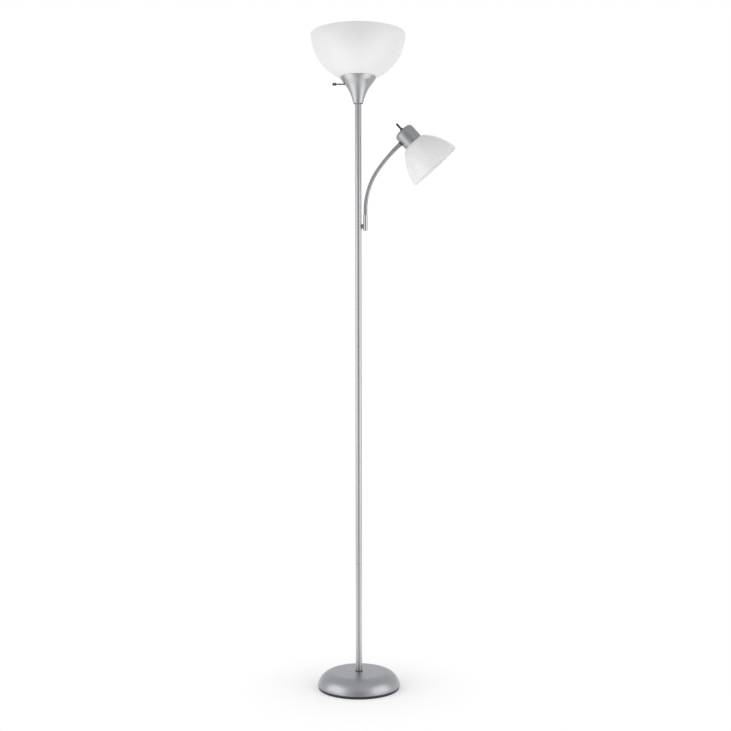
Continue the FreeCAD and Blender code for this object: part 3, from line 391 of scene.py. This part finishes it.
finishes = {
    "satin": metalFinish("satinSilver", satinLook),
    "pole": metalFinish("poleSilver", poleLook),
    "arm": metalFinish("armSilver", armLook),
    "flare": metalFinish("flareSilver", flareLook),
    "cup": metalFinish("cupSilverShaded", cupShadedLook),
    "stem": metalFinish("stemSteel", stemLook),
    "neck": metalFinish("neckSteel", neckLook),
    "zinc": metalFinish("zincSteel", zincLook),
    "nickel": metalFinish("nickelShell", nickelLook),
    "brass": metalFinish("contactBrass", brassLook),
    "black": plasticFinish("blackPlastic", blackLook),
    "switch": plasticFinish("switchPlastic", switchLook),
    "smoke": plasticFinish("smokePlastic", smokeLook),
    "rubber": plasticFinish("padRubber", rubberLook),
    "fibre": plasticFinish("fibreWasherAndShadow", washerAndShadowLook),
    "shade": plasticFinish("frostedShade", shadeLook),
    "bigShade": plasticFinish("frostedBowlShaded", shadedBowlLook),
    "bulb": plasticFinish("frostedBulb", bulbLook),
    "splice": plasticFinish("spliceCap", spliceLook),
    "sheath": plasticFinish("leadSheath", sheathLook),
    "weight": plasticFinish("castWeight", weightLook),
}

# Which finish each part of the frame gets
wears = {
    "satin": ["base_cover"],
    "flare": ["flare_cup"],
    # the darker cup silver is painted shade
    "cup": ["reading_cup"],
    "arm": ["arm_elbow", "arm_end_cap", "arm_sleeve"],
    "stem": ["main_switch_stem", "arm_saddle", "arm_lock_nut"],
    "pole": ["pole_tube_lower", "pole_tube_middle", "pole_tube_upper"],
    "neck": ["neck_base", "neck_tip"] + ["neck_link_%d" % link for link in range(1, 8)],
    "zinc": ["base_nipple", "base_washer", "base_nut", "pole_foot_insert", "pole_top_insert",
             "pole_coupler_lower", "pole_coupler_upper", "arm_stud", "neck_inner_nut",
             "top_nipple", "top_nut"],
    "nickel": ["main_screw_shell", "reading_screw_shell", "main_bulb_cap", "reading_bulb_cap"],
    "brass": ["main_contact", "reading_contact"],
    "black": ["base_pan", "cord_bushing", "reading_socket", "reading_shade_ring",
              "main_socket", "main_shade_ring"],
    "smoke": ["neck_collar", "main_switch_knob"],
    "switch": ["reading_switch_nut", "reading_switch_stem"],
    "rubber": ["base_pad"],
    # the washer's near-black is partly its own colour and partly painted contact shadow
    "fibre": ["base_gasket"],
    # the darker bowl plastic is painted shade
    "bigShade": ["main_shade"],
    "shade": ["reading_shade"],
    "bulb": ["main_bulb_glass", "reading_bulb_glass"],
    "splice": ["splice_caps"],
    "sheath": ["main_lead", "reading_lead", "neck_lead"],
    "weight": ["base_weight"],
}


def dressFrame():
    bare = set(nodes)
    for finish, names in wears.items():
        for name in names:
            for place in nodes[name].material_slots:
                place.material = finishes[finish]
            bare.discard(name)
    if bare:
        raise ValueError("no finish for " + ", ".join(sorted(bare)))


dressFrame()
print("finishes on", sum(len(names) for names in wears.values()), "parts")


# The bending neck: a tube wound from D-shaped wire, and the lead inside it

neck = {
    "foot": (0.020, 0.0, 1.3034),       # in the sleeve
    "straight": 0.0334,                 # upright up to the first hinge
    "lowest": 0.0134,                   # it starts to bend this far below that hinge
    "lowBend": 0.200, "lowAngle": 34.0,
    "highBend": 0.4113, "highAngle": 13.8,
    "tip": 0.014,                       # from the last hinge to the cup
    "collar": 0.0028,
    "flareLength": 0.046,               # the last turns open out by this much in all
    "flareGrowth": 1.19,
    "hinges": 8,
    "pathSteps": 64,
    "outerRadius": 0.00525,
    "wireRadius": 0.00103,
    "wireSides": 14,
    "wireHalf": 0.0001,                 # corners further in than this belong to the wire's flat
    "wireBack": 0.0034,                 # how far the flat of the wire is from the middle
    "wireCrown": 0.45,                  # how round its outer face is, 1 for a half circle
    "pitch": 0.0021,
    "spareTurns": 3,                    # past both ends, cut off later
    "stepsPerTurn": 28,
    "leadRadius": 0.0015,
    "leadSides": 12,
    "leadRings": 96,
    "cutSlack": 0.000001,
    "weldSlack": 0.000002,
    "smoothAngle": 50.0,
}


def neckLength():
    low = neck["lowBend"] * math.radians(neck["lowAngle"])
    high = neck["highBend"] * math.radians(neck["highAngle"])
    return low, high, neck["straight"] + low + high


def neckPoint(along):
    # the middle of the neck that far from its foot, and which way it points there
    low, high, whole = neckLength()
    x, y, z = neck["foot"]
    if along <= neck["straight"]:
        return Vector((x, y, z + along)), Vector((0.0, 0.0, 1.0))
    z += neck["straight"]
    past = along - neck["straight"]
    turn = min(past, low) / neck["lowBend"]
    x += neck["lowBend"] * (1.0 - math.cos(turn))
    z += neck["lowBend"] * math.sin(turn)
    if past > low:
        bend = math.radians(neck["lowAngle"])
        turn = bend + (past - low) / neck["highBend"]
        x += neck["highBend"] * (math.cos(bend) - math.cos(turn))
        z += neck["highBend"] * (math.sin(turn) - math.sin(bend))
    return Vector((x, y, z)), Vector((math.sin(turn), 0.0, math.cos(turn)))


def arcReach(radius, angle):
    # how far the handles at both ends of an arc stand off, so that the curve keeps to the arc
    return 4.0 / 3.0 * math.tan(math.radians(angle) / 4.0) * radius


def makeNeckPath():
    low, high, whole = neckLength()
    selectNone()
    bpy.ops.curve.primitive_bezier_curve_add(location=(0.0, 0.0, 0.0))
    path = bpy.context.object
    path.name = "neckPath"
    path.data.resolution_u = neck["pathSteps"]
    path.data.render_resolution_u = neck["pathSteps"]
    path.data.twist_mode = "MINIMUM"
    spline = path.data.splines[0]
    stops = [0.0, neck["straight"], neck["straight"] + low, whole]
    spline.bezier_points.add(len(stops) - len(spline.bezier_points))
    reaches = [neck["straight"] / 3.0, arcReach(neck["lowBend"], neck["lowAngle"]),
               arcReach(neck["highBend"], neck["highAngle"])]
    for index, along in enumerate(stops):
        place, way = neckPoint(along)
        point = spline.bezier_points[index]
        point.handle_left_type = point.handle_right_type = "FREE"
        point.co = place
        point.handle_left = place - way * reaches[max(index - 1, 0)]
        point.handle_right = place + way * reaches[min(index, len(reaches) - 1)]
    return path


def startMesh(name):
    piece = bpy.context.object
    piece.name = name
    piece.data.name = name
    bpy.ops.object.mode_set(mode="EDIT")
    bpy.ops.mesh.select_all(action="DESELECT")
    bpy.ops.object.mode_set(mode="OBJECT")
    return piece


def pick(piece, kind, test):
    # selects the vertices, edges or faces that pass the test, and nothing else
    mesh = piece.data
    for part in (mesh.vertices, mesh.edges, mesh.polygons):
        for item in part:
            item.select = False
    for item in getattr(mesh, kind):
        item.select = test(item)


def editMode(kind):
    bpy.ops.object.mode_set(mode="EDIT")
    bpy.ops.mesh.select_mode(type=kind)


def openOut(span, high):
    # each turn near the top a little wider than the one below it
    turns = int(neck["flareLength"] / neck["pitch"])
    top = neckLength()[2] - neck["collar"]
    for turn in range(turns):
        foot = top - (turns - turn) * neck["pitch"]
        head = foot + neck["pitch"] if turn < turns - 1 else top + neck["pitch"]
        if foot > high:
            break
        pick(span, "vertices", lambda corner: foot <= corner.co.z < head)
        if not any(corner.select for corner in span.data.vertices):
            continue
        growth = 1.0 + (neck["flareGrowth"] - 1.0) * (turn + 1) / turns
        editMode("VERT")
        bpy.ops.transform.resize(value=(growth, growth, 1.0), center_override=(0.0, 0.0, 0.0))
        bpy.ops.object.mode_set(mode="OBJECT")


def windWire():
    # the wire's section, screwed up the Z axis
    middle = neck["outerRadius"] - neck["wireRadius"]
    selectNone()
    bpy.ops.mesh.primitive_circle_add(vertices=neck["wireSides"], radius=neck["wireRadius"],
                                      location=(middle, 0.0, -neck["pitch"]),
                                      rotation=(math.radians(90.0), 0.0, 0.0))
    bpy.ops.object.transform_apply(location=True, rotation=True, scale=True)
    wire = startMesh("neckWinding")
    pick(wire, "vertices", lambda corner: corner.co.x < middle - neck["wireHalf"])
    editMode("VERT")
    bpy.ops.transform.resize(value=(0.0, 1.0, 1.0), center_override=(neck["wireBack"], 0.0, 0.0))
    bpy.ops.mesh.select_all(action="INVERT")
    bpy.ops.transform.resize(value=(neck["wireCrown"], 1.0, 1.0),
                             center_override=(neck["outerRadius"], 0.0, 0.0))
    bpy.ops.object.mode_set(mode="OBJECT")
    screw = wire.modifiers.new("winding", "SCREW")
    screw.axis = "Z"
    screw.angle = 2.0 * math.pi
    screw.screw_offset = neck["pitch"]
    screw.iterations = int((neckLength()[2] - neck["collar"]) / neck["pitch"]) + neck["spareTurns"]
    screw.steps = neck["stepsPerTurn"]
    screw.render_steps = neck["stepsPerTurn"]
    screw.use_smooth_shade = True
    bpy.ops.object.modifier_apply(modifier="winding")
    return wire


def drawLead():
    selectNone()
    bpy.ops.mesh.primitive_circle_add(vertices=neck["leadSides"], radius=neck["leadRadius"],
                                      fill_type="NGON", location=(0.0, 0.0, neck["straight"]))
    bpy.ops.object.transform_apply(location=True, rotation=True, scale=True)
    lead = startMesh("neckLead")
    pick(lead, "polygons", lambda face: True)
    editMode("FACE")
    step = (neckLength()[2] - neck["straight"]) / neck["leadRings"]
    for ring in range(neck["leadRings"]):
        bpy.ops.mesh.extrude_region_move(TRANSFORM_OT_translate={"value": (0.0, 0.0, step)})
    bpy.ops.object.mode_set(mode="OBJECT")
    return lead


def cutBetween(piece, low, high):
    # keeps what is between two heights, and closes both ends
    bpy.context.view_layer.objects.active = piece
    piece.select_set(True)
    for height, above in ((low, False), (high, True)):
        editMode("VERT")
        bpy.ops.mesh.select_all(action="SELECT")
        bpy.ops.mesh.bisect(plane_co=(0.0, 0.0, height), plane_no=(0.0, 0.0, 1.0), use_fill=True,
                            clear_inner=not above, clear_outer=above, threshold=neck["cutSlack"])
        bpy.ops.object.mode_set(mode="OBJECT")


def faceOutwards(piece):
    bpy.context.view_layer.objects.active = piece
    bpy.ops.object.mode_set(mode="EDIT")
    bpy.ops.mesh.select_all(action="SELECT")
    bpy.ops.mesh.remove_doubles(threshold=neck["weldSlack"])
    bpy.ops.mesh.normals_make_consistent(inside=False)
    bpy.ops.object.mode_set(mode="OBJECT")


def neckSpans(low, high):
    # lengths of neck, one across each hinge, each with the two bodies it bends between
    _, _, length = neckLength()
    spacing = (length - neck["tip"] - neck["straight"]) / (neck["hinges"] - 1)
    middles = [neck["straight"] + spacing * (link + 0.5) for link in range(neck["hinges"] - 1)]
    cuts = [low] + middles + [high]
    bodies = ["stand"] + ["neck_%d" % link for link in range(1, neck["hinges"])] + ["reading_head"]
    return zip(cuts, cuts[1:], bodies, bodies[1:])


def bendNeck(whole, path, name, finish, low, high, widens):
    # cuts a straight length into its spans and bends each one
    _, _, length = neckLength()
    spans = []
    for index, (foot, head, lower, upper) in enumerate(neckSpans(low, high)):
        span = whole.copy()
        span.data = whole.data.copy()
        span.name = span.data.name = "%s%d" % (name, index + 1)
        bpy.context.scene.collection.objects.link(span)
        selectNone()
        cutBetween(span, foot, head)
        faceOutwards(span)
        if widens:
            openOut(span, head)
        curve = span.modifiers.new("bend", "CURVE")
        curve.object = path
        curve.deform_axis = "POS_Z"
        bpy.ops.object.modifier_apply(modifier="bend")
        bpy.ops.object.shade_smooth_by_angle(angle=math.radians(neck["smoothAngle"]))
        span.data.materials.clear()
        span.data.materials.append(finishes[finish])
        start = neckPoint(max(foot, neck["straight"] - neck["lowest"]))[0]
        end = neckPoint(min(head, length - neck["collar"]))[0]
        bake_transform(span)
        spans.append(span)
    bpy.data.objects.remove(whole)
    return spans


def makeNeck():
    path = makeNeckPath()
    _, _, length = neckLength()
    windings = bendNeck(windWire(), path, "neckWinding", "neck",
                        0.0, length - neck["collar"], True)
    for index, winding in enumerate(windings[:-1]):
        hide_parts("neck_link_%d" % (index + 1))
    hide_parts("neck_base")
    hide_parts("neck_tip")
    leads = bendNeck(drawLead(), path, "neckLead", "sheath",
                     neck["straight"], length, False)
    for leadSpan in leads:
        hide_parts("neck_lead")
    bpy.data.objects.remove(path)


makeNeck()
print("neck wound")
